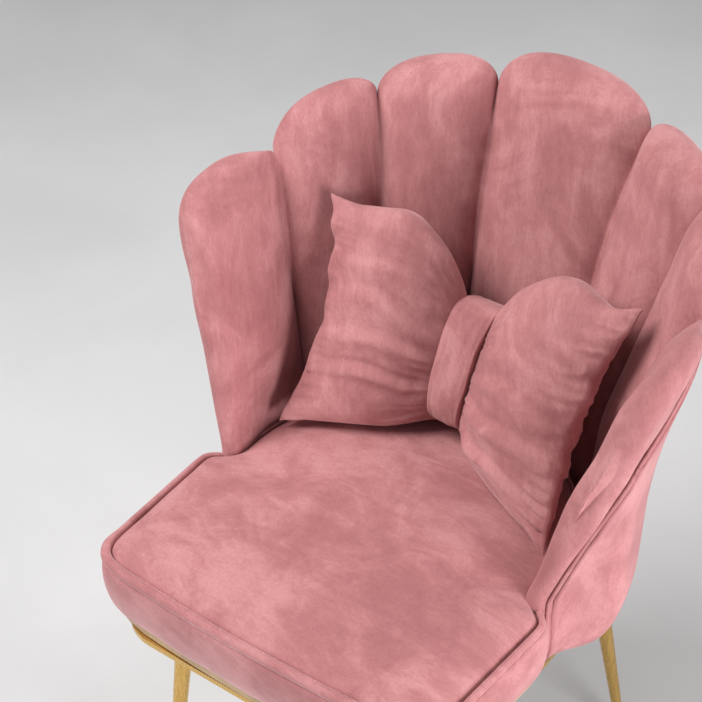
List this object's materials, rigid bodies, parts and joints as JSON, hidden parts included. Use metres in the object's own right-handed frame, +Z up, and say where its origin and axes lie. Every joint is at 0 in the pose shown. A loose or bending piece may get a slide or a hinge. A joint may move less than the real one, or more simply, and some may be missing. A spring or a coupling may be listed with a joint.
{
  "type": "upholstered armchair",
  "caption": "Low petal-back velvet armchair: scalloped wrap-round shell, T-shaped seat cushion, splayed tapered metal legs and a loose bow cushion.",
  "frame": {"origin": "centre of the footprint box, on the floor", "axes": "+Z up, seat front towards -Y, +X to the viewer's right when facing the seat"},
  "size_m": [0.596, 0.6492, 0.8367],
  "materials": {
    "velvet": "short-pile velvet, dusty pink, soft nap with brushed patches",
    "velvet_trim": "velvet-covered piping cord",
    "gold_metal": "brushed gold finish on steel",
    "screw_steel": "zinc-plated steel",
    "plywood": "raw birch plywood",
    "foam": "open-cell upholstery foam",
    "dust_cloth": "black non-woven cloth",
    "glide_plastic": "matte black plastic"
  },
  "bodies": {
    "chair": {"base_frame": "gold_metal", "leg_front_left": "gold_metal", "leg_front_right": "gold_metal", "leg_rear_left": "gold_metal", "leg_rear_right": "gold_metal", "foot_glide_front_left": "glide_plastic", "foot_glide_front_right": "glide_plastic", "foot_glide_rear_left": "glide_plastic", "foot_glide_rear_right": "glide_plastic", "leg_screws": "screw_steel", "seat_screws": "screw_steel", "shell_screws": "screw_steel", "dust_cover": "dust_cloth", "seat_board": "plywood", "shell_rail": "plywood", "shell_ply": "plywood", "seat_foam": "foam", "seat_boxing": "velvet", "seat_top_panel": "velvet", "back_cover": "velvet", "seat_welt": "velvet_trim", "piping_left": "velvet_trim", "piping_right": "velvet_trim", "petal_arm_left": "velvet", "petal_side_left": "velvet", "petal_back_left": "velvet", "petal_centre": "velvet", "petal_back_right": "velvet", "petal_side_right": "velvet", "petal_arm_right": "velvet"},
    "bow_cushion": {"bow_lobe_left": "velvet", "bow_lobe_right": "velvet", "bow_knot": "velvet"}
  },
  "joints": [
    {"name": "bow_lift", "type": "slide", "parent": "chair", "child": "bow_cushion", "axis": [0, 0, 1], "range_m": [0, 0.45]}
  ]
}
